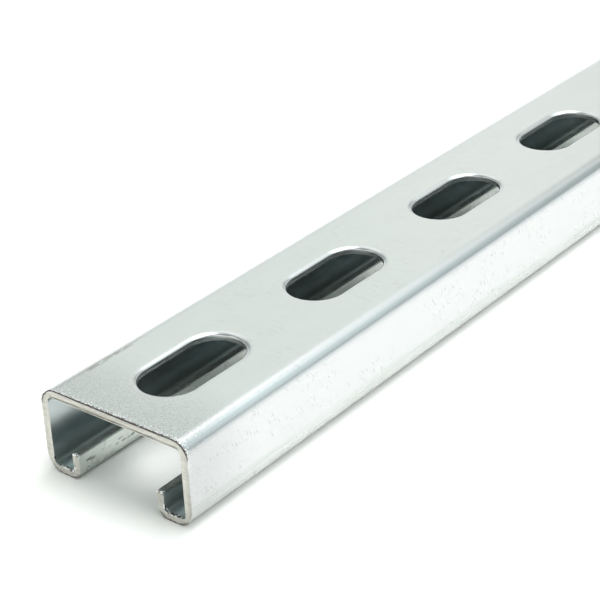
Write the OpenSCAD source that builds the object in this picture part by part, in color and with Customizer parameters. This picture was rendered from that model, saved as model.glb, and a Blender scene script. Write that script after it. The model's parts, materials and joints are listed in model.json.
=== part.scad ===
// Shallow strut channel: one strip of sheet metal, punched with a row of slots
// and rolled into a channel with two inturned lips.
// The channel lies lips down: +X along the stock, +Y across it, +Z up.
// The origin is on the floor plane, in the middle of the stock.

/* [Stock] */
// Length that the stock is cut to
stock_length = 304.8; // [152.4:50.8:3048]
// Thickness of the sheet, the same all round the section
wall = 1.9; // [1.2:0.1:2.7]

/* [Section] */
// Width over the two side walls
channel_width = 41.3; // [37.5:0.1:60]
// Height from the lips' underside to the slotted back
channel_height = 20.6; // [16:0.1:41.3]
// Clear opening between the two lips
lip_opening = 22.2; // [14:0.1:24]
// Height of each lip's turned-up edge, measured from the underside
return_height = 6.5; // [5:0.1:8]

/* [Bends] */
// Inside radius of the bends between the back and the side walls
back_bend_radius = 2.1; // [0.5:0.1:3]
// Inside radius of the bends between the side walls and the lips
lip_bend_radius = 2.5; // [0.5:0.1:3]
// Inside radius of the bend that turns each lip's edge up
return_bend_radius = 1; // [0.5:0.1:1.5]

/* [Slots] */
// Length of a slot over its round ends
slot_length = 28.6; // [16:0.1:38]
// Width of a slot
slot_width = 14.3; // [8:0.1:16]
// Distance from one slot's centre to the next one's
slot_pitch = 50.8; // [45:0.1:60]
// Distance from the cut end to the first slot's centre
slot_offset = 25.4; // [22:0.1:40]
// Size of the rolled-in edge that the punch leaves round a slot
slot_edge = 0.4; // [0.1:0.1:0.6]

/* [Hidden] */

$fn = 96;

// How far a cutter runs past the faces that it opens
overrun = 1;
// Share of a pitch that keeps rounding from dropping the last slot
count_slack = 0.001;

slot_count = floor((stock_length - 2 * slot_offset) / slot_pitch + count_slack) + 1;
first_slot_x = slot_offset - stock_length / 2;

side_y = channel_width / 2;
lip_y = lip_opening / 2;

// A quarter of a bend: the sheet's thickness between two arcs about the origin,
// in the quadrant that starts at the angle `from`.
module bend(inside_radius, from) {
    reach = inside_radius + wall;
    rotate(from) intersection() {
        difference() {
            circle(reach);
            circle(inside_radius);
        }
        square(reach);
    }
}

// One flat stretch of the sheet, from one corner to the other.
module flat(low, high) {
    translate(low) square(high - low);
}

// Half of the section, on the +Y side. X here is the channel's Y.
module half_section() {
    back_r = back_bend_radius + wall;
    lip_r = lip_bend_radius + wall;
    return_r = return_bend_radius + wall;

    // back
    flat([0, channel_height - wall], [side_y - back_r, channel_height]);
    translate([side_y - back_r, channel_height - back_r]) bend(back_bend_radius, 0);
    // side wall
    flat([side_y - wall, lip_r], [side_y, channel_height - back_r]);
    translate([side_y - lip_r, lip_r]) bend(lip_bend_radius, 270);
    // lip
    flat([lip_y + return_r, 0], [side_y - lip_r, wall]);
    translate([lip_y + return_r, return_r]) bend(return_bend_radius, 180);
    // the lip's turned-up edge
    flat([lip_y, return_r], [lip_y + wall, return_height]);
}

module section() {
    half_section();
    mirror([1, 0]) half_section();
}

// A slot's cutter, with the back's outer face at Z = 0. Below the rolled edge
// the slot goes straight through; the edge itself widens towards the face.
module slot_cutter() {
    radius = slot_width / 2;
    travel = slot_length - slot_width;
    flare = slot_edge + overrun;

    for (end = [-1, 1]) translate([end * travel / 2, 0, 0]) {
        translate([0, 0, -wall - overrun]) cylinder(h = wall + 2 * overrun, r = radius);
        translate([0, 0, -slot_edge]) cylinder(h = flare, r1 = radius, r2 = radius + flare);
    }
    translate([-travel / 2, 0, 0]) rotate([90, 0, 90]) linear_extrude(travel) {
        translate([-radius, -wall - overrun]) square([2 * radius, wall + 2 * overrun]);
        polygon([
            [-radius, -slot_edge], [radius, -slot_edge],
            [radius + flare, overrun], [-radius - flare, overrun]
        ]);
    }
}

module strut_channel() {
    color("gainsboro")
    difference() {
        translate([-stock_length / 2, 0, 0])
            rotate([90, 0, 90]) linear_extrude(stock_length) section();
        for (i = [0 : slot_count - 1])
            translate([first_slot_x + i * slot_pitch, 0, channel_height]) slot_cutter();
    }
}

strut_channel();
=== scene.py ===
# %% [markdown]
# # A length of slotted strut channel
#
# Strut channel is the metal rail that pipes, trays and machines are hung from. A mill takes a flat strip,
# punches a row of slots along its middle and rolls the strip's two sides down and in, until it is a
# channel with two turned-up lips. The whole thing is one piece of sheet.
#
# This lesson makes the finished surface of that piece around a frame that already fixes its size. The
# frame gives the outer box and the slots' places, so nothing here is placed by eye.

# %% Load the frame
import json
import math

import bmesh
import bpy
from mathutils import Matrix, Quaternion, Vector, noise


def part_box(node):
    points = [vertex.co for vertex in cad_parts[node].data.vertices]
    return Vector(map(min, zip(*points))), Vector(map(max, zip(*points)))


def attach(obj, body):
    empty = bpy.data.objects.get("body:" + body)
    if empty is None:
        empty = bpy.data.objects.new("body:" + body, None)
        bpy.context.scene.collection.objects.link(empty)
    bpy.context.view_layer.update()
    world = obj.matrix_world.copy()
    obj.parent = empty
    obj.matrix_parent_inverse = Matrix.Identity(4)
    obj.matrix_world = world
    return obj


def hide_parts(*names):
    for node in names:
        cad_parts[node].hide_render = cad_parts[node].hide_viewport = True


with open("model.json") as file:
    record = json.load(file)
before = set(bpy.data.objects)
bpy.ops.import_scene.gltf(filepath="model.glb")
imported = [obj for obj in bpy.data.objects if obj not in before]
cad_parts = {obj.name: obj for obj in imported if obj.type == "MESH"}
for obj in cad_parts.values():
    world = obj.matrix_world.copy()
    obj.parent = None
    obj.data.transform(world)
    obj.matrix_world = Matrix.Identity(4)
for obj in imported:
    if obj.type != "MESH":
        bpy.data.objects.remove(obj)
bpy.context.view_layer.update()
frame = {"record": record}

# %% [markdown]
# ## The sizes
#
# A rolled section is described by few numbers: the sheet's thickness, the outside sizes, the opening
# between the lips and the inside radius of each bend. The outside sizes and the slots are read from the
# frame, so that they can't drift from it. The rest are the section's own values, kept in one place.

# %% Sizes of the section
mm = 0.001

stock_low, stock_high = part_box("strut_channel")
near_end, far_end = stock_low.x, stock_high.x
side_y, back_z = stock_high.y, stock_high.z

wall = 1.9 * mm
lip_opening = 22.2 * mm
return_height = 6.5 * mm
back_bend = 2.1 * mm
lip_bend = 2.5 * mm
return_bend = 1.0 * mm

slot_rows = [m for m in frame["record"]["mounts"] if m["kind"] == "bolt_pattern"]
slot_radius = slot_rows[0]["dims"]["hole_r_mm"] * mm
slot_length = slot_rows[0]["dims"]["slot_length_mm"] * mm
slot_travel = slot_length - 2 * slot_radius
slot_centres = sorted(
    row["pos_m"][0] + side * row["dims"]["spacing_x_mm"] * mm / 2
    for row in slot_rows
    for side in (-1, 1)
)
print(len(slot_centres), "slots of", round(slot_length / mm, 1), "x", round(2 * slot_radius / mm, 1), "mm")

# %% [markdown]
# ## The camera
#
# A long lens close to the near end gives the stock its strong run into the distance. The camera is set
# like one on a tripod: a point to look at, a direction to stand in, a distance, and a slight lean of the
# head.

# %% Camera
aim_point = Vector((near_end + 75.8 * mm, 10.7 * mm, 10.3 * mm))
stand_azimuth = math.radians(309.45)
stand_elevation = math.radians(28.0)
stand_distance = 426.8 * mm
head_lean = math.radians(-2.83)
lens_length = 106.8

toward_camera = Vector((
    math.sin(stand_azimuth) * math.cos(stand_elevation),
    -math.cos(stand_azimuth) * math.cos(stand_elevation),
    math.sin(stand_elevation),
))
camera = bpy.data.objects.new("camera", bpy.data.cameras.new("camera"))
bpy.context.collection.objects.link(camera)
camera.data.sensor_width = 36
camera.data.lens = lens_length
camera.data.clip_start = 0.01
camera.location = aim_point + toward_camera * stand_distance
camera.rotation_mode = "QUATERNION"
level_view = (-toward_camera).to_track_quat("-Z", "Y")
camera.rotation_quaternion = level_view @ Quaternion((0, 0, 1), head_lean)
bpy.context.scene.camera = camera
print("camera stands", round(stand_distance, 3), "m from its aim")

# %% [markdown]
# ## Drawing the section
#
# The section is the shape of the cut end. It could be typed in as a list of points, but the mill makes it
# from straight runs and bends, so it is drawn the same way: one vertex is pulled along each straight
# stretch and spun about the centre of each bend. The outline goes down the outside of the +Y half, round
# the edge of the turned-up lip and back along the inside. A mirror makes the other half.
#
# The stretches are cut into pieces of about half a millimetre. The cut ends need them later for their
# burr.
#
# On a real strip the metal crowds together on the inside of a bend, so the inside corners are tighter
# than an even thickness would make them. The strip's edge, which was slit from the coil, is rounded, more
# on the side that faces out.

# %% Helpers that pull and bend an outline
piece = 0.5 * mm


def pull(bm, start, y, z):
    """Draws a straight stretch from a vertex to (y, z), in short pieces, and returns its last vertex."""
    goal = Vector((start.co.x, y, z))
    pieces = max(1, round((goal - start.co).length / piece))
    step = (goal - start.co) / pieces
    for _ in range(pieces):
        start = bmesh.ops.extrude_vert_indiv(bm, verts=[start])["verts"][0]
        bmesh.ops.translate(bm, verts=[start], vec=step)
    return start


def bend(bm, start, y, z, degrees, steps):
    """Spins a vertex about the bend centre (y, z), in as many steps, and returns its last vertex."""
    centre = (start.co.x, y, z)
    turned = bmesh.ops.spin(
        bm, geom=[start], cent=centre, axis=(1, 0, 0), angle=math.radians(degrees), steps=steps
    )
    return turned["geom_last"][0]


# %% Where the section bends
tip_outer_round, tip_inner_round = 0.45 * mm, 0.35 * mm
inside_back_bend, inside_lip_bend = 1.5 * mm, 1.0 * mm
support = 0.5 * mm
lip_y = lip_opening / 2
flat_back_y = side_y - wall - back_bend
back_centre = (flat_back_y, back_z - wall - back_bend)
lip_centre = (side_y - wall - lip_bend, wall + lip_bend)
return_centre = (lip_y + wall + return_bend, wall + return_bend)
inner_back_centre = (side_y - wall - inside_back_bend, back_z - wall - inside_back_bend)
inner_lip_centre = (side_y - wall - inside_lip_bend, wall + inside_lip_bend)
outer_tip_centre = (lip_y + tip_outer_round, return_height - tip_outer_round)
inner_tip_centre = (lip_y + wall - tip_inner_round, return_height - tip_inner_round)
print("the back is flat to", round(flat_back_y / mm, 1), "mm from the middle")

# %% Half of the section
strut = bmesh.new()
vertex = strut.verts.new((near_end, 0, back_z))
vertex = pull(strut, vertex, flat_back_y - support, back_z)
vertex = pull(strut, vertex, flat_back_y, back_z)
vertex = bend(strut, vertex, *back_centre, -90, steps=14)
vertex = pull(strut, vertex, side_y, lip_centre[1])
vertex = bend(strut, vertex, *lip_centre, -90, steps=14)
vertex = pull(strut, vertex, return_centre[0], 0)
vertex = bend(strut, vertex, *return_centre, -90, steps=10)
vertex = pull(strut, vertex, lip_y, outer_tip_centre[1])
vertex = bend(strut, vertex, *outer_tip_centre, -90, steps=6)
vertex = pull(strut, vertex, inner_tip_centre[0], return_height)
vertex = bend(strut, vertex, *inner_tip_centre, -90, steps=3)
vertex = pull(strut, vertex, lip_y + wall, return_centre[1])
vertex = bend(strut, vertex, *return_centre, 90, steps=6)
vertex = pull(strut, vertex, inner_lip_centre[0], wall)
vertex = bend(strut, vertex, *inner_lip_centre, 90, steps=8)
vertex = pull(strut, vertex, side_y - wall, inner_back_centre[1])
vertex = bend(strut, vertex, *inner_back_centre, 90, steps=8)
vertex = pull(strut, vertex, flat_back_y, back_z - wall)
vertex = pull(strut, vertex, flat_back_y - support, back_z - wall)
vertex = pull(strut, vertex, 0, back_z - wall)
print("half outline:", len(strut.verts), "vertices")

# %% [markdown]
# ## From outline to stock
#
# The half outline is mirrored and filled, and the filled section is extruded to the stock's length. That
# gives every rolled face at once, with faces that run the whole length as the real metal's grain does.
#
# Smooth shading blends the direction of faces that meet at an edge. On a flat that meets a bend, the
# blend would spread over the whole flat, so a thin band of faces beside each bend and each cut end keeps
# it short.

# %% Fill the section and extrude it
weld = 0.001 * mm


def of_kind(items, kind):
    """The vertices, edges or faces among the items that an operator returns."""
    return [item for item in items if isinstance(item, kind)]


half = strut.verts[:] + strut.edges[:]
bmesh.ops.mirror(strut, geom=half, matrix=Matrix.Identity(4), merge_dist=weld, axis="Y")
bmesh.ops.remove_doubles(strut, verts=strut.verts[:], dist=weld)
near_face = bmesh.ops.contextual_create(strut, geom=strut.edges[:])["faces"][0]
grown = bmesh.ops.extrude_face_region(strut, geom=[near_face])["geom"]
bmesh.ops.translate(strut, verts=of_kind(grown, bmesh.types.BMVert), vec=(far_end - near_end, 0, 0))
bmesh.ops.recalc_face_normals(strut, faces=strut.faces[:])

end_support = 1.0 * mm
for x in (near_end + end_support, far_end - end_support):
    whole = strut.verts[:] + strut.edges[:] + strut.faces[:]
    bmesh.ops.bisect_plane(strut, geom=whole, plane_co=(x, 0, 0), plane_no=(1, 0, 0), dist=weld / 10)
print("stock:", len(strut.faces), "faces, volume", round(strut.calc_volume() * 1e6, 2), "cm3")

# %% [markdown]
# ## Which face is which surface
#
# The strip has an outer skin that gets rubbed bright and an inner one, and its cut edges differ from
# both. The inner skin gets a lighter metal than the outer one, which is painted light that lifts the
# inside of the channel, and painted shade in its corners. The turned-up faces on either side of the
# opening get a lighter, greener copy of the outer skin: painted light for the lit floor that they mirror.
# A face's place says which it is, so a few small tests sort them: the inner skin is what lies within the
# walls and isn't the turned-up lip.

# %% Names for the surfaces
surfaces = ["rolled_skin", "inner_skin", "slit_edge", "cut_end", "punch_burnish", "punch_tear", "lit_lip_face"]
surface_index = {name: index for index, name in enumerate(surfaces)}
tiny = 0.01 * mm


def faces_inward(point):
    """True where a point of the rolled strip lies on its inner skin."""
    within_walls = abs(point.y) < side_y - wall + tiny and wall - tiny < point.z < back_z - wall + tiny
    past_lip = abs(point.y) > lip_y + wall - tiny or point.z > return_height + tiny
    return within_walls and past_lip


def on_slit_edge(point):
    """True on the strip's own edge, which is the tip of the lip."""
    at_tip = return_height - tip_inner_round / 2 < point.z < return_height + tiny
    return at_tip and lip_y - tiny < abs(point.y) < lip_y + wall - tiny


def surface_at(point):
    """The name of the surface that a point of the rolled strip lies on."""
    if on_slit_edge(point):
        return "slit_edge"
    if faces_inward(point):
        return "inner_skin"
    on_lip = abs(point.y) < lip_y + wall and point.z < return_height
    return "lit_lip_face" if on_lip else "rolled_skin"


for face in strut.faces:
    face.material_index = surface_index[surface_at(face.calc_center_median())]
for name, index in surface_index.items():
    print(name, "-", sum(face.material_index == index for face in strut.faces), "faces")

# %% [markdown]
# ## Punching the slots
#
# A punch leaves a mark that says how the hole was made. Round the top the sheet is dragged down into a
# broad soft edge, the die roll. Below it the punch slides against the metal and leaves a smooth band, and
# at the bottom the last third tears away, a little wider and rougher.
#
# A boolean cut would make a hole with none of that, and with long thin triangles round it. Here the flat
# faces between the bends are taken out. One ring in the slot's shape is drawn for each slot, and it is
# extruded again and again: down into the hole, and in or out from the slot's middle line. The die roll is
# a row of short slopes that grow steeper, each given by its run and its angle. The flats are then filled
# again round the rings.

# %% Draw a ring and move it away from the slot's middle
arc_steps = 36


def draw_slot(bm, x, z):
    """Draws one ring in the shape of the slot and returns its edges."""
    before = set(bm.edges)
    first = corner = bm.verts.new((x - slot_travel / 2, -slot_radius, z))
    for side in (1, -1):
        pieces = round(slot_travel / piece)
        for _ in range(pieces):
            corner = bmesh.ops.extrude_vert_indiv(bm, verts=[corner])["verts"][0]
            bmesh.ops.translate(bm, verts=[corner], vec=(side * slot_travel / pieces, 0, 0))
        centre = (x + side * slot_travel / 2, 0, z)
        turned = bmesh.ops.spin(
            bm, geom=[corner], cent=centre, axis=(0, 0, 1), angle=math.pi, steps=arc_steps
        )
        corner = turned["geom_last"][0]
    bmesh.ops.pointmerge(bm, verts=[first, corner], merge_co=first.co)
    return [edge for edge in bm.edges if edge not in before]


def widen(verts, x, distance):
    """Moves a slot's vertices away from the slot's middle line."""
    for vert in verts:
        along = min(max(vert.co.x, x - slot_travel / 2), x + slot_travel / 2)
        vert.co += (vert.co - Vector((along, 0, vert.co.z))).normalized() * distance


# %% The side's profile, ring by ring
die_roll = ((0.16, 7), (0.25, 14), (0.26, 19), (0.22, 25), (0.17, 33), (0.10, 48), (0.05, 75))  # mm, degrees
burnished_depth = 1.2 * mm
tear_growth, tear_start, tear_chamfer = 0.16 * mm, 0.12 * mm, 0.08 * mm

grow = sum(run for run, _ in die_roll) * mm
depth = 0
side_rings = [(grow + support, 0, "rolled_skin"), (grow, 0, "rolled_skin")]
for run, slope in die_roll:
    grow -= run * mm
    depth += run * mm * math.tan(math.radians(slope))
    side_rings.append((grow, depth, "rolled_skin"))
side_rings += [
    (0, burnished_depth, "punch_burnish"),
    (tear_growth * 0.7, burnished_depth + tear_start, "punch_tear"),
    (tear_growth, wall - tear_chamfer, "punch_tear"),
    (tear_growth + tear_chamfer, wall, "punch_tear"),
    (tear_growth + tear_chamfer + support, wall, "inner_skin"),
]
print("die roll", round(side_rings[1][0] / mm, 2), "mm wide and", round(depth / mm, 2), "mm deep")

# %% Open the back
flat_limit = flat_back_y - support * 0.99
for z in (back_z, back_z - wall):
    flats = [
        face
        for face in strut.faces
        if abs(face.calc_center_median().z - z) < tiny
        and abs(face.calc_center_median().y) < flat_limit
        and abs(face.calc_center_median().x) < far_end - end_support
    ]
    bmesh.ops.delete(strut, geom=flats, context="FACES")
rims = [edge for edge in strut.edges if len(edge.link_faces) == 1]
print("open back:", len(rims), "edges round it")

# %% Build the slots' sides
tear_wave, tear_wave_length = 0.10 * mm, 1.1 * mm
tear_chip, tear_chip_length = 0.05 * mm, 0.45 * mm
top_rings, bottom_rings = [], []
for x in slot_centres:
    ring = draw_slot(strut, x, back_z)
    widen({vert for edge in ring for vert in edge.verts}, x, side_rings[0][0])
    top_rings += ring
    for (last_grow, last_depth, _), (grow, depth, name) in zip(side_rings, side_rings[1:]):
        grown = bmesh.ops.extrude_edge_only(strut, edges=ring)["geom"]
        ring = of_kind(grown, bmesh.types.BMEdge)
        ring_verts = of_kind(grown, bmesh.types.BMVert)
        bmesh.ops.translate(strut, verts=ring_verts, vec=(0, 0, last_depth - depth))
        widen(ring_verts, x, grow - last_grow)
        for face in of_kind(grown, bmesh.types.BMFace):
            face.material_index = surface_index[name]
        if name == "punch_tear" and depth < wall:
            for vert in ring_verts:
                vert.co.z += tear_wave * noise.noise(vert.co / tear_wave_length)
                widen([vert], x, tear_chip * noise.noise(vert.co / tear_chip_length))
    bottom_rings += ring
print(len(slot_centres), "slots of", len(side_rings), "rings each")

# %% Close the back round the slots
for z, rings, name in ((back_z, top_rings, "rolled_skin"), (back_z - wall, bottom_rings, "inner_skin")):
    outline = [edge for edge in rims if abs(edge.verts[0].co.z - z) < tiny]
    filled = bmesh.ops.triangle_fill(strut, use_beauty=True, edges=outline + rings, normal=(0, 0, 1))
    for face in of_kind(filled["geom"], bmesh.types.BMFace):
        face.material_index = surface_index[name]
bmesh.ops.recalc_face_normals(strut, faces=strut.faces[:])
open_edges = sum(1 for edge in strut.edges if not edge.is_contiguous)
print("punched:", len(strut.faces), "faces,", open_edges, "open edges")

# %% [markdown]
# ## The cut ends
#
# A shear leaves a bright flat face with a narrow broken edge round it. Two insets give the cut face its
# own border, and the outermost ring is drawn back a little along the stock. Only the flat cut face is
# shaded flat. All the rest is smooth.
#
# The blade came down through the back, so the back's outer edge is the ragged one. It gets a deeper,
# uneven break with a small raised burr. The lips, where the blade came out, get a smaller one. The
# raggedness is noise read from each vertex's own place, so it is the same each time the lesson is run.

# %% How ragged the cut's edge is
cut_break = 0.14 * mm
least_break = 0.06 * mm
burr_depth = 0.30 * mm
burr_height = 0.05 * mm
least_bite = 0.1
lip_share, tip_share = 0.35, 0.6
fine_bite, broad_bite, burr_crumb = 0.7 * mm, 2.6 * mm, 0.9 * mm


def raggedness(point):
    """How ragged the cut edge is: 1 along the back's outer edge, less at the lips, 0 elsewhere."""
    if faces_inward(point):
        return lip_share if point.z < wall * 1.5 else 0
    bend_angle = max(0, abs(point.y) - flat_back_y) / (wall + back_bend)
    along_back = max(0, 1 - bend_angle**3) if point.z > back_centre[1] else 0
    at_lip_tip = tip_share if on_slit_edge(point) else 0
    return max(along_back, at_lip_tip)


# %% Break the ends' edges
for x, inward in ((near_end, 1), (far_end, -1)):
    cap = max(
        (face for face in strut.faces if abs(face.calc_center_median().x - x) < tiny),
        key=lambda face: face.calc_area(),
    )
    rim_verts = list(cap.verts)
    borders = []
    for _ in range(2):
        border = bmesh.ops.inset_region(strut, faces=[cap], thickness=cut_break, use_even_offset=True)
        borders += border["faces"]
    for face in [cap, *borders]:
        face.material_index = surface_index["cut_end"]
    for vert in rim_verts:
        rough = raggedness(vert.co)
        bite = 0.5 + 0.5 * noise.noise(vert.co / fine_bite) + 0.5 * noise.noise(vert.co / broad_bite)
        lift = max(0, noise.noise(vert.co / burr_crumb))
        outward = Vector((0, vert.normal.y, vert.normal.z)).normalized()
        vert.co.x += inward * (least_break + burr_depth * rough * max(least_bite, bite))
        vert.co += outward * burr_height * rough * lift
for face in strut.faces:
    face.smooth = abs(face.calc_center_median().x) < far_end - tiny
print("with cut ends:", len(strut.faces), "faces, volume", round(strut.calc_volume() * 1e6, 2), "cm3")

# %% [markdown]
# ## The metal
#
# Bare metal shows little colour of its own. What tells one surface from another is how sharply it mirrors
# the room, so each finish here differs mostly in roughness, in how much light it gives back, and in its
# marks.
#
# An effect that several finishes share is a node group. It is built once and placed in each finish with
# its own values. Three of them are on every finish: the strip's faint cloudy tone, the grain that the
# rolls leave along its length, and the small grey marks of handling. They read the object's own
# coordinates, so they stay where they are when the piece moves.

# %% Helpers for node trees
colour_a, colour_b, colour_result = 6, 7, 2  # places of the Mix node's colour sockets


def feed(tree, value, socket):
    """Gives an input a number, a colour or another node's output."""
    if isinstance(value, bpy.types.NodeSocket):
        tree.links.new(value, socket)
    elif isinstance(value, tuple):
        socket.default_value = (*value, 1)
    else:
        socket.default_value = value


def node(tree, kind, **settings):
    """Adds a node; settings that name an input set that input's value."""
    made = tree.nodes.new("ShaderNode" + kind)
    for key, value in settings.items():
        if key in made.inputs:
            made.inputs[key].default_value = value
        else:
            setattr(made, key, value)
    return made


def mix(tree, share, first, second, blend_type="MIX"):
    """A Mix node for colours, which lays the second over the first."""
    mixed = node(tree, "Mix", data_type="RGBA", blend_type=blend_type)
    feed(tree, share, mixed.inputs["Factor"])
    feed(tree, first, mixed.inputs[colour_a])
    feed(tree, second, mixed.inputs[colour_b])
    return mixed.outputs[colour_result]


def spread(tree, value, low, high, to_low=0.0, to_high=1.0):
    """Maps a value from one range to another with soft ends. Without a second range, that is 0 to 1."""
    made = node(tree, "MapRange", interpolation_type="SMOOTHSTEP")
    for name, number in (("From Min", low), ("From Max", high), ("To Min", to_low), ("To Max", to_high)):
        made.inputs[name].default_value = number
    feed(tree, value, made.inputs["Value"])
    return made.outputs["Result"]


def fall(tree, value, low, high):
    """The other way round: 1 below a range and 0 above it."""
    return spread(tree, value, low, high, 1.0, 0.0)


# %% Helpers for sums in node trees
def compute(tree, operation, first, second=0.0):
    """A Math node on one or two sockets or numbers."""
    made = node(tree, "Math", operation=operation)
    feed(tree, first, made.inputs[0])
    feed(tree, second, made.inputs[1])
    return made.outputs[0]


def plus(tree, total, *terms):
    """The sum of sockets and numbers."""
    for term in terms:
        total = compute(tree, "ADD", total, term)
    return total


def times(tree, product, *factors):
    """The product of sockets and numbers."""
    for factor in factors:
        product = compute(tree, "MULTIPLY", product, factor)
    return product


def apart(tree, first, second):
    """How far two values are apart."""
    return compute(tree, "ABSOLUTE", compute(tree, "SUBTRACT", first, second))


# %% Helpers for patterns and effects
def stretched_place(tree, sizes, turn_y=0.0):
    """Object coordinates counted in steps of the given sizes in millimetres."""
    turned = node(tree, "Mapping", vector_type="POINT")
    turned.inputs["Rotation"].default_value = (0, math.radians(turn_y), 0)
    feed(tree, node(tree, "TexCoord").outputs["Object"], turned.inputs["Vector"])
    sized = node(tree, "VectorMath", operation="MULTIPLY")
    sized.inputs[1].default_value = [1 / (size * mm) for size in sizes]
    feed(tree, turned.outputs[0], sized.inputs[0])
    return sized.outputs[0]


def patches(tree, sizes, detail=2, roughness=0.55, turn_y=0.0):
    """Noise whose patches have about the given sizes in millimetres along x, y and z."""
    pattern = node(tree, "TexNoise", Scale=1, Detail=detail, Roughness=roughness)
    feed(tree, stretched_place(tree, sizes, turn_y), pattern.inputs["Vector"])
    return pattern.outputs["Fac"]


def new_effect(name, inputs, outputs):
    """A node group with named number inputs and outputs. Returns it, what it reads and what it gives."""
    group = bpy.data.node_groups.new(name, "ShaderNodeTree")
    for label, value in inputs.items():
        added = group.interface.new_socket(label, in_out="INPUT", socket_type="NodeSocketFloat")
        added.default_value = value
    for label in outputs:
        group.interface.new_socket(label, in_out="OUTPUT", socket_type="NodeSocketFloat")
    return group, group.nodes.new("NodeGroupInput").outputs, group.nodes.new("NodeGroupOutput").inputs


def tell(group):
    """Prints how many nodes an effect took."""
    print(group.name, "took", len(group.nodes), "nodes")


def effect(tree, group, **values):
    """Places an effect in another node tree with its own values."""
    placed = tree.nodes.new("ShaderNodeGroup")
    placed.node_tree = group
    for key, value in values.items():
        placed.inputs[key].default_value = value
    return placed


# %% Cloudy tone and rolling grain
cloud_layers = ((1.0, 14, 7), (0.8, 1.6, 1.1), (0.8, 0.38, 0.3))  # weight, mm along, mm across
cloud, cloud_in, cloud_out = new_effect("strip_cloud", {"Depth": 0.05}, ["Tone"])
tone = -sum(weight for weight, _, _ in cloud_layers) / 2
for weight, size_x, size_y in cloud_layers:
    tone = plus(cloud, times(cloud, patches(cloud, (size_x, size_y, size_y)), weight), tone)
feed(cloud, plus(cloud, times(cloud, tone, cloud_in["Depth"]), 1.0), cloud_out["Tone"])
tell(cloud)

grain_layers = ((1.0, 11, 0.6), (0.25, 7, 0.18))  # weight, mm along, mm across
grain, grain_in, grain_out = new_effect("rolling_grain", {"Pits": 0.5}, ["Height"])
height = times(grain, patches(grain, (0.5, 0.4, 0.4)), grain_in["Pits"])
for weight, size_x, size_y in grain_layers:
    furrow = patches(grain, (size_x, size_y, size_y), roughness=0.6)
    height = plus(grain, height, times(grain, furrow, weight))
feed(grain, height, grain_out["Height"])
tell(grain)

# %% [markdown]
# Handling leaves two kinds of marks: short slanted smears, and small dots. Both gather in some places and
# leave others clean, and on the back they are fainter, because hands and other stock rub them off again.

# %% Marks of handling
def scatter(tree, sizes, near, far, keep, turn_y=0.0):
    """Dots that fade from near to far, in the cells of a Voronoi pattern whose random number is over keep."""
    cells = node(tree, "TexVoronoi", Scale=1, Randomness=1)
    feed(tree, stretched_place(tree, sizes, turn_y), cells.inputs["Vector"])
    dots = fall(tree, cells.outputs["Distance"], near, far)
    numbers = node(tree, "SeparateColor")
    feed(tree, cells.outputs["Color"], numbers.inputs[0])
    return times(tree, dots, spread(tree, numbers.outputs[0], keep, keep + 0.04))


marks, marks_in, marks_out = new_effect("handling_marks", {"Amount": 0.5}, ["Mask"])
smears = patches(marks, (0.6, 2.6, 1.9), detail=3, roughness=0.6, turn_y=24)
dots = scatter(marks, (1.6, 1.2, 1.2), near=0.05, far=0.20, keep=0.92)
both = compute(marks, "MAXIMUM", spread(marks, smears, 0.55, 0.71), times(marks, dots, 0.6))
gathered = spread(marks, patches(marks, (14, 9, 5), roughness=0.5), 0.42, 0.58)
place = node(marks, "SeparateXYZ")
feed(marks, node(marks, "TexCoord").outputs["Object"], place.inputs[0])
rubbed_off = spread(marks, place.outputs["Z"], back_z - 4 * mm, back_z - 1 * mm, 1.0, 0.4)
feed(marks, times(marks, both, gathered, rubbed_off, marks_in["Amount"]), marks_out["Mask"])
tell(marks)

# %% [markdown]
# ## How near an edge is
#
# The burr, the frost and the dull band at the ends all depend on how far a point is from the cut, and on
# the cut face itself from the strip's outer skin. Both distances come from the shape: the cut ends are
# flat, and the section's outside is a box with round corners, apart from the lips, which turn up with
# their own bend. One node group works the two distances out, in millimetres, for every effect that needs
# them. It also gives a point's height and how far it lies to the side.

# %% Distances from the cut and from the outer skin
def corner_distance(tree, across, up, radius):
    """How deep a point lies inside a rounded corner, from its distances past the corner's centre."""
    low = compute(tree, "MINIMUM", compute(tree, "MAXIMUM", across, up), 0.0)
    across, up = compute(tree, "MAXIMUM", across, 0.0), compute(tree, "MAXIMUM", up, 0.0)
    reach = compute(tree, "SQRT", plus(tree, times(tree, across, across), times(tree, up, up)))
    return compute(tree, "SUBTRACT", radius, plus(tree, reach, low))


edges, _, edges_out = new_effect("edge_distances", {}, ["From End", "From Skin", "Height", "Side"])
place = node(edges, "SeparateXYZ")
feed(edges, stretched_place(edges, (1, 1, 1)), place.inputs[0])
height = place.outputs["Z"]
side = compute(edges, "ABSOLUTE", place.outputs["Y"])
from_end = compute(edges, "SUBTRACT", far_end / mm, compute(edges, "ABSOLUTE", place.outputs["X"]))

half_height = back_z / mm / 2
lip_radius, back_radius = (wall + lip_bend) / mm, (wall + back_bend) / mm
at_back = compute(edges, "GREATER_THAN", height, half_height)
radius = compute(edges, "SUBTRACT", lip_radius, times(edges, at_back, lip_radius - back_radius))
across = plus(edges, side, -side_y / mm, radius)
up = plus(edges, apart(edges, height, half_height), -half_height, radius)
at_side = corner_distance(edges, across, up, radius)

out_of_reach = 100.0
return_y, return_z = return_centre[0] / mm, return_centre[1] / mm
lip_across = compute(edges, "SUBTRACT", return_y, side)
lip_up = compute(edges, "SUBTRACT", return_z, height)
at_lip = corner_distance(edges, lip_across, lip_up, return_z)
at_lip = plus(edges, at_lip, times(edges, at_back, out_of_reach))
from_skin = compute(edges, "MINIMUM", at_side, at_lip)
for name, value in (("From End", from_end), ("From Skin", from_skin), ("Height", height), ("Side", side)):
    feed(edges, value, edges_out[name])
tell(edges)
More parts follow.
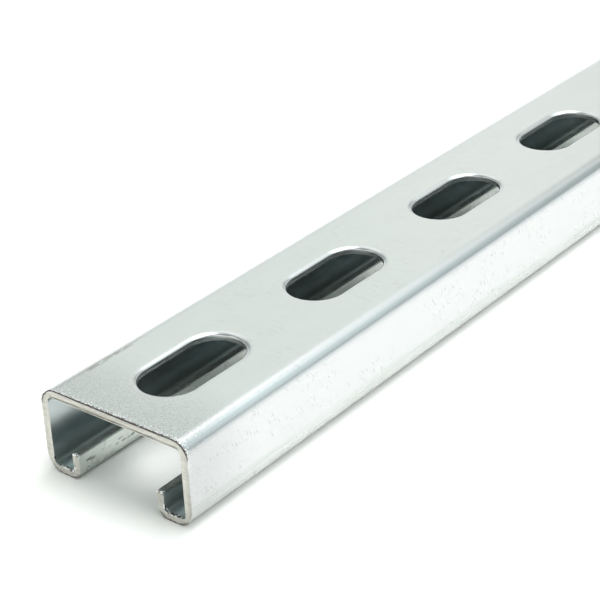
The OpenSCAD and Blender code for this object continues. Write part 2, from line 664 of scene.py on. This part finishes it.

# %% [markdown]
# ## Burr and frost
#
# The blade drags the back's outer edge into a ragged break and throws up bright crumbs behind it. A dark
# ragged line along that edge is painted shade of the broken step, and the same line at the foot of the
# cut is painted contact shade under the lips. Where the blade leaves the strip, at the lips' inner
# corners and at their tips, it leaves bright and dark crumbs mixed. Two masks say where the dark line and
# crumbs and where the bright crumbs are. A third is for the dull, mottled band that fades out over the
# stock's first two centimetres.

# %% What the cut leaves behind
burr, burr_in, burr_out = new_effect("cut_burr", {"Line": 0.38, "Frost": 1.4}, ["Dark", "Bright", "Dull"])
measures = effect(burr, edges).outputs
height, from_skin = measures["Height"], measures["From Skin"]
behind_cut = compute(burr, "MAXIMUM", measures["From End"], 0.0)
top, back_of_lip = back_z / mm, (lip_y + wall) / mm
crumb = patches(burr, (0.27, 0.27, 0.27), roughness=0.65)
chip = patches(burr, (0.5, 0.5, 0.5), detail=1, roughness=0.5)

ragged = times(burr, compute(burr, "SUBTRACT", crumb, 0.5), 2.0)
line = compute(burr, "SUBTRACT", burr_in["Line"], plus(burr, behind_cut, from_skin, ragged))
at_top = spread(burr, height, top - 4.8, top - 2.0)
at_foot = spread(burr, height, 0.7, 2.2, 0.8, 0.0)
# Painted shade: a dark ragged line along the back's cut edge, and painted contact shade at the foot.
painted_step_shade = times(burr, spread(burr, line, -0.06, 0.08), compute(burr, "MAXIMUM", at_top, at_foot))

inner_gap = plus(burr, apart(burr, from_skin, wall / mm - 0.05), times(burr, behind_cut, 0.6))
inner_line = times(burr, fall(burr, inner_gap, 0.28, 0.55), fall(burr, height, 3.0, 4.0))
tip_gap = plus(burr, apart(burr, return_height / mm, height), behind_cut)
on_lip = fall(burr, measures["Side"], back_of_lip + 0.1, back_of_lip + 0.4)
tip_line = times(burr, fall(burr, tip_gap, 0.45, 0.9), on_lip)
mixed_line = compute(burr, "MAXIMUM", inner_line, tip_line)
dark = compute(burr, "MAXIMUM", painted_step_shade, times(burr, mixed_line, spread(burr, chip, 0.48, 0.44)))
feed(burr, dark, burr_out["Dark"])

# %% Frost and the dull band
fade = compute(burr, "DIVIDE", behind_cut, burr_in["Frost"])
frost = spread(burr, compute(burr, "SUBTRACT", crumb, times(burr, fade, 0.16)), 0.42, 0.56)
frost = times(burr, frost, fall(burr, from_skin, 0.05, 0.3), spread(burr, height, top - 7.6, top - 2.6))
bright = compute(burr, "MAXIMUM", frost, times(burr, mixed_line, spread(burr, chip, 0.50, 0.55)))
feed(burr, times(burr, bright, compute(burr, "SUBTRACT", 1.0, dark)), burr_out["Bright"])

on_back = spread(burr, height, top - 1.6, top - 0.1, 0.35, 1.0)
mottle = plus(burr, times(burr, spread(burr, crumb, 0.36, 0.62, 0.55, -0.55), on_back), 1.0)
feed(burr, times(burr, fall(burr, behind_cut, 2.0, 24.0), mottle), burr_out["Dull"])
tell(burr)

# %% [markdown]
# ## Painted shade in the inside corners
#
# Where the walls meet the lips, a band of painted shade darkens each inside corner and makes it duller,
# so it hides the thin bright line that a clean bend would mirror. The band's edge is uneven along the
# stock. It reaches higher up the wall than it does across the floor of the corner, and it is a little
# thinner on the turned-up lip.

# %% Painted shade along the inside corners
thinner_at_lip = 0.45
taller_by_wall = 0.32
corner_shade, corner_shade_in, corner_shade_out = new_effect("painted_corner_shade", {"Reach": 3.4}, ["Mask"])
measures = effect(corner_shade, edges).outputs
from_wall = apart(corner_shade, measures["Side"], (side_y - wall) / mm)
from_lip = apart(corner_shade, measures["Side"], (lip_y + wall) / mm)
sideways = compute(corner_shade, "MINIMUM", from_wall, plus(corner_shade, from_lip, thinner_at_lip))
upward = compute(corner_shade, "SUBTRACT", measures["Height"], wall / mm)
square = plus(corner_shade, times(corner_shade, sideways, sideways), times(corner_shade, upward, upward, taller_by_wall))
uneven_edge = patches(corner_shade, (3.5, 0.8, 0.8), detail=3, roughness=0.6)
corner_gap = plus(corner_shade, compute(corner_shade, "SQRT", square), uneven_edge, -0.5)
reached = compute(corner_shade, "DIVIDE", corner_gap, corner_shade_in["Reach"])
feed(corner_shade, fall(corner_shade, reached, 0.1, 1.0), corner_shade_out["Mask"])
tell(corner_shade)

# %% [markdown]
# At the foot of the stock the metal gets painted shade and is made duller, for the shadow on the floor
# that the lower bends mirror. That band is only a question of height: it is strong at the very foot,
# and faint up to a few millimetres.

# %% Painted shade at the foot
foot_shade, foot_shade_in, foot_shade_out = new_effect("painted_foot_shade", {"Amount": 0.85}, ["Mask"])
foot_edge_noise = patches(foot_shade, (4.0, 1.0, 1.0), detail=3, roughness=0.6)
lifted = plus(foot_shade, effect(foot_shade, edges).outputs["Height"], foot_edge_noise, -0.5)
foot = plus(foot_shade, spread(foot_shade, lifted, 0.1, 0.9, 0.74, 0.0), spread(foot_shade, lifted, 0.4, 3.4, 0.26, 0.0))
feed(foot_shade, times(foot_shade, foot, foot_shade_in["Amount"]), foot_shade_out["Mask"])
tell(foot_shade)

# %% [markdown]
# ## Marks with a place of their own
#
# Three marks aren't spread evenly. The lips' faces carry a broken row of short dark dashes, and fine
# darker streaks run along the foot of the sides: partly fine lines where the last rolls pressed, partly
# painted shade that the lower bend mirrors from the floor. The back's bend has a long brownish scuff
# near one end, where the stock rubbed on its neighbour.

# %% Dark dashes, and streaks with painted shade
def band(tree, value, start, full, fading, end):
    """1 inside a band and 0 outside it, rising from start to full and falling from fading to end."""
    return times(tree, spread(tree, value, start, full), fall(tree, value, fading, end))


# A broken row of short dark dashes on the lips' faces.
dashes, dashes_in, dashes_out = new_effect("lip_dashes", {"Amount": 0.5}, ["Mask"])
measures = effect(dashes, edges).outputs
row = scatter(dashes, (2.2, 4.0, 0.95), near=0.2, far=0.56, keep=0.1, turn_y=4)
lip_top = return_height / mm
halfway_up = band(dashes, measures["Height"], lip_top - 3.6, lip_top - 3.0, lip_top - 2.3, lip_top - 1.6)
on_face = fall(dashes, measures["Side"], lip_y / mm + 0.2, lip_y / mm + 0.7)
feed(dashes, times(dashes, row, halfway_up, on_face, dashes_in["Amount"]), dashes_out["Mask"])
tell(dashes)

# Fine streaks at the foot of the sides, partly painted shade mirrored from the floor.
foot_streaks_shade, foot_streaks_shade_in, foot_streaks_shade_out = new_effect("foot_streaks_and_shade", {"Amount": 0.5}, ["Mask"])
measures = effect(foot_streaks_shade, edges).outputs
scored = patches(foot_streaks_shade, (16.0, 0.5, 0.5), detail=3, roughness=0.65)
scored = spread(foot_streaks_shade, scored, 0.40, 0.64, 0.3, 1.0)
low_down = band(foot_streaks_shade, measures["Height"], 1.5, 3.5, 4.8, 6.6)
at_side = spread(foot_streaks_shade, measures["Side"], side_y / mm - 3.5, side_y / mm - 1.5)
feed(foot_streaks_shade, times(foot_streaks_shade, scored, low_down, at_side, foot_streaks_shade_in["Amount"]), foot_streaks_shade_out["Mask"])
tell(foot_streaks_shade)

# %% A scuff on the bend
scuff_centre = (near_end + 17 * mm, side_y - 3.9 * mm, back_z)
scuff_half_size = (15 * mm, 1.0 * mm, 6 * mm)
scuff, scuff_in, scuff_out = new_effect("bend_scuff", {"Amount": 0.5}, ["Mask"])
offset = node(scuff, "VectorMath", operation="SUBTRACT")
offset.inputs[1].default_value = scuff_centre
feed(scuff, node(scuff, "TexCoord").outputs["Object"], offset.inputs[0])
shrunk = node(scuff, "VectorMath", operation="DIVIDE")
shrunk.inputs[1].default_value = scuff_half_size
feed(scuff, offset.outputs[0], shrunk.inputs[0])
distance = node(scuff, "VectorMath", operation="LENGTH")
feed(scuff, shrunk.outputs[0], distance.inputs[0])
within = fall(scuff, distance.outputs["Value"], 0.2, 1.0)
rubbed = spread(scuff, patches(scuff, (2.4, 0.5, 0.8), detail=3, roughness=0.6), 0.38, 0.56)
feed(scuff, times(scuff, within, rubbed, scuff_in["Amount"]), scuff_out["Mask"])
tell(scuff)

# %% [markdown]
# The blade leaves its own marks on the cut face: fine streaks that run straight across, and a half next
# to the inner skin that is a little lighter, where the metal broke away by itself.

# %% Blade streaks
streaks, streaks_in, streaks_out = new_effect("blade_streaks", {"Depth": 0.2}, ["Tone"])
stroke = patches(streaks, (1.0, 2.4, 0.2), detail=3, roughness=0.65)
torn_half = plus(streaks, effect(streaks, edges).outputs["From Skin"], stroke)
torn_half = spread(streaks, torn_half, 1.2, 1.8, -0.12, 0.18)
tone = plus(streaks, spread(streaks, stroke, 0.3, 0.6), -0.7, torn_half)
feed(streaks, plus(streaks, times(streaks, tone, streaks_in["Depth"]), 1.0), streaks_out["Tone"])
tell(streaks)

# %% [markdown]
# ## One recipe for every finish
#
# Each finish is a metallic Principled BSDF. Its colour is the metal's tint times the cloudy tone, pulled
# towards a grey where there are marks, and its roughness rises there. A small bump carries the grain, and
# the bright crumbs of the cut stand a little above it. The finishes differ in their numbers and in which
# of the effects they have.

# %% The recipe
smear_grey, smear_dulls = (0.36, 0.37, 0.37), 0.15
bright_crumb, bright_dulls, bright_stands = (0.95, 0.95, 0.96), 0.2, 1.3
# The colour of the painted shade line along the cut, and of the dark crumbs.
shade_and_crumb_dark, dark_dulls = (0.07, 0.05, 0.05), 0.3


def metal(
    name, tint, roughness, depth=0.05, amount=0.5, at_ends=True, darker=0.0, own=(), bump=0.01, pits=0.5
):
    """A bare metal finish. The cloud has the depth given and the marks the amount. The grain is as high as
    bump, in mm. The dull band at the ends is as dark as darker. own lists more effects, each as the group,
    its values, the colour it pulls towards and how much duller it makes the metal."""
    finish = bpy.data.materials.new(name)
    finish.use_nodes = True
    tree = finish.node_tree
    shader = tree.nodes["Principled BSDF"]
    shader.inputs["Metallic"].default_value = 1

    colour = mix(tree, 1, tint, effect(tree, cloud, Depth=depth).outputs["Tone"], "MULTIPLY")
    handled = effect(tree, marks, Amount=amount).outputs["Mask"]
    colour = mix(tree, handled, colour, smear_grey)
    dull = plus(tree, times(tree, handled, smear_dulls), roughness)
    for group, values, target, duller in own:
        placed = effect(tree, group, **values)
        if "Tone" in placed.outputs:
            colour = mix(tree, 1, colour, placed.outputs["Tone"], "MULTIPLY")
        else:
            colour = mix(tree, placed.outputs["Mask"], colour, target)
            dull = plus(tree, dull, times(tree, placed.outputs["Mask"], duller))

    height = effect(tree, grain, Pits=pits).outputs["Height"]
    if at_ends:
        crumbs = effect(tree, burr).outputs
        if darker:
            shade = compute(tree, "SUBTRACT", 1.0, times(tree, crumbs["Dull"], darker))
            colour = mix(tree, 1, colour, shade, "MULTIPLY")
        colour = mix(tree, crumbs["Bright"], colour, bright_crumb)
        colour = mix(tree, crumbs["Dark"], colour, shade_and_crumb_dark)
        dull = plus(tree, dull, times(tree, crumbs["Bright"], bright_dulls))
        dull = plus(tree, dull, times(tree, crumbs["Dark"], dark_dulls))
        height = plus(tree, height, times(tree, crumbs["Bright"], bright_stands))
    feed(tree, colour, shader.inputs["Base Color"])
    feed(tree, dull, shader.inputs["Roughness"])
    relief = node(tree, "Bump", Strength=1, Distance=bump * mm)
    feed(tree, height, relief.inputs["Height"])
    feed(tree, relief.outputs["Normal"], shader.inputs["Normal"])
    return finish


# %% Mix the finishes
outer_marks = (
    (dashes, {"Amount": 0.85}, (0.25, 0.26, 0.25), 0.1),
    (scuff, {"Amount": 0.9}, (0.42, 0.38, 0.36), 0.15),
    # The foot's streaks, darker in part as painted shade.
    (foot_streaks_shade, {"Amount": 0.55}, (0.51, 0.56, 0.51), 0.05),
    # Painted shade at the foot: the metal is pulled towards a near black there.
    (foot_shade, {}, (0.14, 0.14, 0.125), 0.2),
)
outside = {"amount": 0.42, "darker": 0.19, "own": outer_marks}
# Painted shade in the inside corners: the corner mask pulls the inner skin towards a dark grey-green.
shaded_corners = ((corner_shade, {}, (0.30, 0.335, 0.325), 0.3),)
sheared = ((streaks, {"Depth": 0.28}, None, 0),)
recipes = {
    "rolled_skin": dict(tint=(0.742, 0.740, 0.750), roughness=0.25, **outside),
    # The lips' faces: a lighter, greener copy of the outer skin, painted light for the lit floor they mirror.
    "lit_lip_face": dict(tint=(0.80, 0.85, 0.81), roughness=0.25, **outside),
    # The inner skin's tint is lighter than the outer skin's: painted light that lifts the inside of the
    # channel.
    "inner_skin": dict(tint=(0.89, 0.96, 0.97), roughness=0.28, amount=0.1, own=shaded_corners),
    # The slit edge is rough, and its dark tint is painted shade of the dark inside that it mirrors.
    "slit_edge": dict(tint=(0.28, 0.29, 0.27), roughness=0.62, depth=1.1, amount=0.4, bump=0.03, pits=2.5),
    "cut_end": dict(
        tint=(0.59, 0.575, 0.53), roughness=0.45, depth=0.15, amount=0.2, own=sheared, bump=0.012
    ),
    "punch_burnish": dict(tint=(0.46, 0.49, 0.48), roughness=0.33, at_ends=False),
    "punch_tear": dict(tint=(0.36, 0.38, 0.38), roughness=0.6, depth=0.5, at_ends=False, bump=0.03, pits=2.0),
}
finishes = {name: metal(name, **recipe) for name, recipe in recipes.items()}
print("finishes:", ", ".join(finishes))

# %% [markdown]
# ## The finished piece
#
# The mesh leaves the workshop here: it becomes an object at the origin, with one slot for each finish, in
# the order in which the faces were numbered. It lies where the frame's plain strut lies, so it rides on
# the same body and takes that piece's place. Edges that turn sharply, such as those of the cut ends, stay
# crisp.

# %% Make the finished piece
sharp_from = math.radians(35)
mesh = bpy.data.meshes.new("rolled_strut")
strut.to_mesh(mesh)
strut.free()
mesh.set_sharp_from_angle(angle=sharp_from)
for name in surfaces:
    mesh.materials.append(finishes[name])
rolled_strut = bpy.data.objects.new("rolled_strut", mesh)
bpy.context.collection.objects.link(rolled_strut)
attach(rolled_strut, "root")
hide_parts("strut_channel")
print("triangles:", sum(len(face.vertices) - 2 for face in mesh.polygons))

# %% [markdown]
# ## The floor
#
# The stock lies on plain white paper. Such paper is often lit a little more than the object, so that it
# comes out white and only the shadow stays. Here the lights stay as they are, and the camera and the
# metal see the paper slightly brighter than it is: the Light Path node tells their rays from the rest.

# %% White paper
plain_paper, seen_paper = (0.92, 0.92, 0.92), (1.085, 1.056, 1.036)
floor_mesh = bpy.data.meshes.new("floor")
floor_maker = bmesh.new()
bmesh.ops.create_circle(floor_maker, cap_ends=True, radius=6, segments=96)
floor_maker.to_mesh(floor_mesh)
floor_maker.free()
floor = bpy.data.objects.new("floor", floor_mesh)
bpy.context.collection.objects.link(floor)

paper = bpy.data.materials.new("floor_paper")
paper.use_nodes = True
paper_tree = paper.node_tree
paper_shader = paper_tree.nodes["Principled BSDF"]
paper_shader.inputs["Roughness"].default_value = 1
paper_shader.inputs["Specular IOR Level"].default_value = 0
rays = node(paper_tree, "LightPath").outputs
seen = compute(paper_tree, "MAXIMUM", rays["Is Camera Ray"], rays["Is Glossy Ray"])
seen = compute(paper_tree, "MAXIMUM", seen, rays["Is Transmission Ray"])
feed(paper_tree, mix(paper_tree, seen, plain_paper, seen_paper), paper_shader.inputs["Base Color"])
floor_mesh.materials.append(paper)
print("a round sheet of paper,", round(floor.dimensions.x, 1), "m wide")

# %% [markdown]
# ## The studio
#
# Bare metal has almost no look of its own: it shows the room. The room here is a tent of pale cloth,
# written straight into the world as brightness by direction: white paper behind the horizon, a plain
# grey-green room above it, and soft round lights added to that. Lamps would do too, but a soft patch of
# sky has no hard rim to show in the metal. The high ones shine through the slots and give the bend its
# bright line. The low ones fill the shadow in front of the cut end and beside the stock.

# %% Helpers for a sky
world = bpy.data.worlds.new("studio")
bpy.context.scene.world = world
world.use_nodes = True
sky = world.node_tree
sky_direction = node(sky, "TexCoord").outputs["Generated"]
sky_place = node(sky, "SeparateXYZ")
feed(sky, sky_direction, sky_place.inputs[0])


def heading(azimuth, elevation):
    """A unit vector from an azimuth about +Z, counted from +X, and an elevation, both in degrees."""
    turn, rise = math.radians(azimuth), math.radians(elevation)
    return (math.cos(turn) * math.cos(rise), math.sin(turn) * math.cos(rise), math.sin(rise))


def soft_light(azimuth, elevation, inner, outer):
    """A mask that is 1 within the inner radius about a heading and 0 past the outer one, in degrees."""
    facing = node(sky, "VectorMath", operation="DOT_PRODUCT")
    facing.inputs[1].default_value = heading(azimuth, elevation)
    feed(sky, sky_direction, facing.inputs[0])
    rim, core = math.cos(math.radians(outer)), math.cos(math.radians(inner))
    return spread(sky, facing.outputs["Value"], rim, core)


# %% Hang the lights
room = (0.28, 0.325, 0.31)
lights = {  # azimuth, elevation, inner radius, outer radius, colour
    "wall behind": (38, 32, 0, 28, (0.62, 0.67, 0.62)),
    "lighter wall": (31, 22, 1, 9, (0.18, 0.14, 0.14)),
    "paper behind": (-5, 22, 4, 14, (0.45, 0.46, 0.46)),
    "fill at the side": (-80, 32, 0, 28, (1.66, 1.80, 1.80)),
    "fill beside it": (-48, 43, 0, 27, (0.58, 0.70, 0.72)),
    "fill in front": (145, 34, 3, 20, (0.95, 0.92, 0.88)),
    "fill in front, at the side": (205, 32, 0, 26, (0.60, 0.57, 0.56)),
    "high behind": (-5, 57, 0, 29, (0.80, 0.84, 0.83)),
    "high behind the far side": (68, 54, 0, 22, (0.80, 0.83, 0.82)),
    "high at the side": (-85, 54, 0, 26, (0.70, 0.72, 0.71)),
    "above the back": (0, 66, 6, 14, (2.75, 2.7, 2.8)),
    "overhead": (0, 78, 6, 14, (4.4, 4.6, 4.6)),
    "overhead at the side": (-90, 78, 6, 14, (5.0, 5.1, 5.1)),
}
studio = room
for azimuth, elevation, inner, outer, colour in lights.values():
    studio = mix(sky, soft_light(azimuth, elevation, inner, outer), studio, colour, "ADD")
print(len(lights), "soft lights in a room of", room)

# %% Roll the paper up behind the horizon
paper_rim = (1.03, 1.1, 1.1)
paper_top, room_from = 12, 15.5
low, high = (math.sin(math.radians(elevation)) for elevation in (paper_top, room_from))
above_paper = spread(sky, sky_place.outputs["Z"], low, high)
feed(sky, mix(sky, above_paper, paper_rim, studio), sky.nodes["Background"].inputs["Color"])
bpy.context.scene.view_settings.view_transform = "Standard"
print("paper up to", paper_top, "degrees above the horizon, room from", room_from, "degrees")
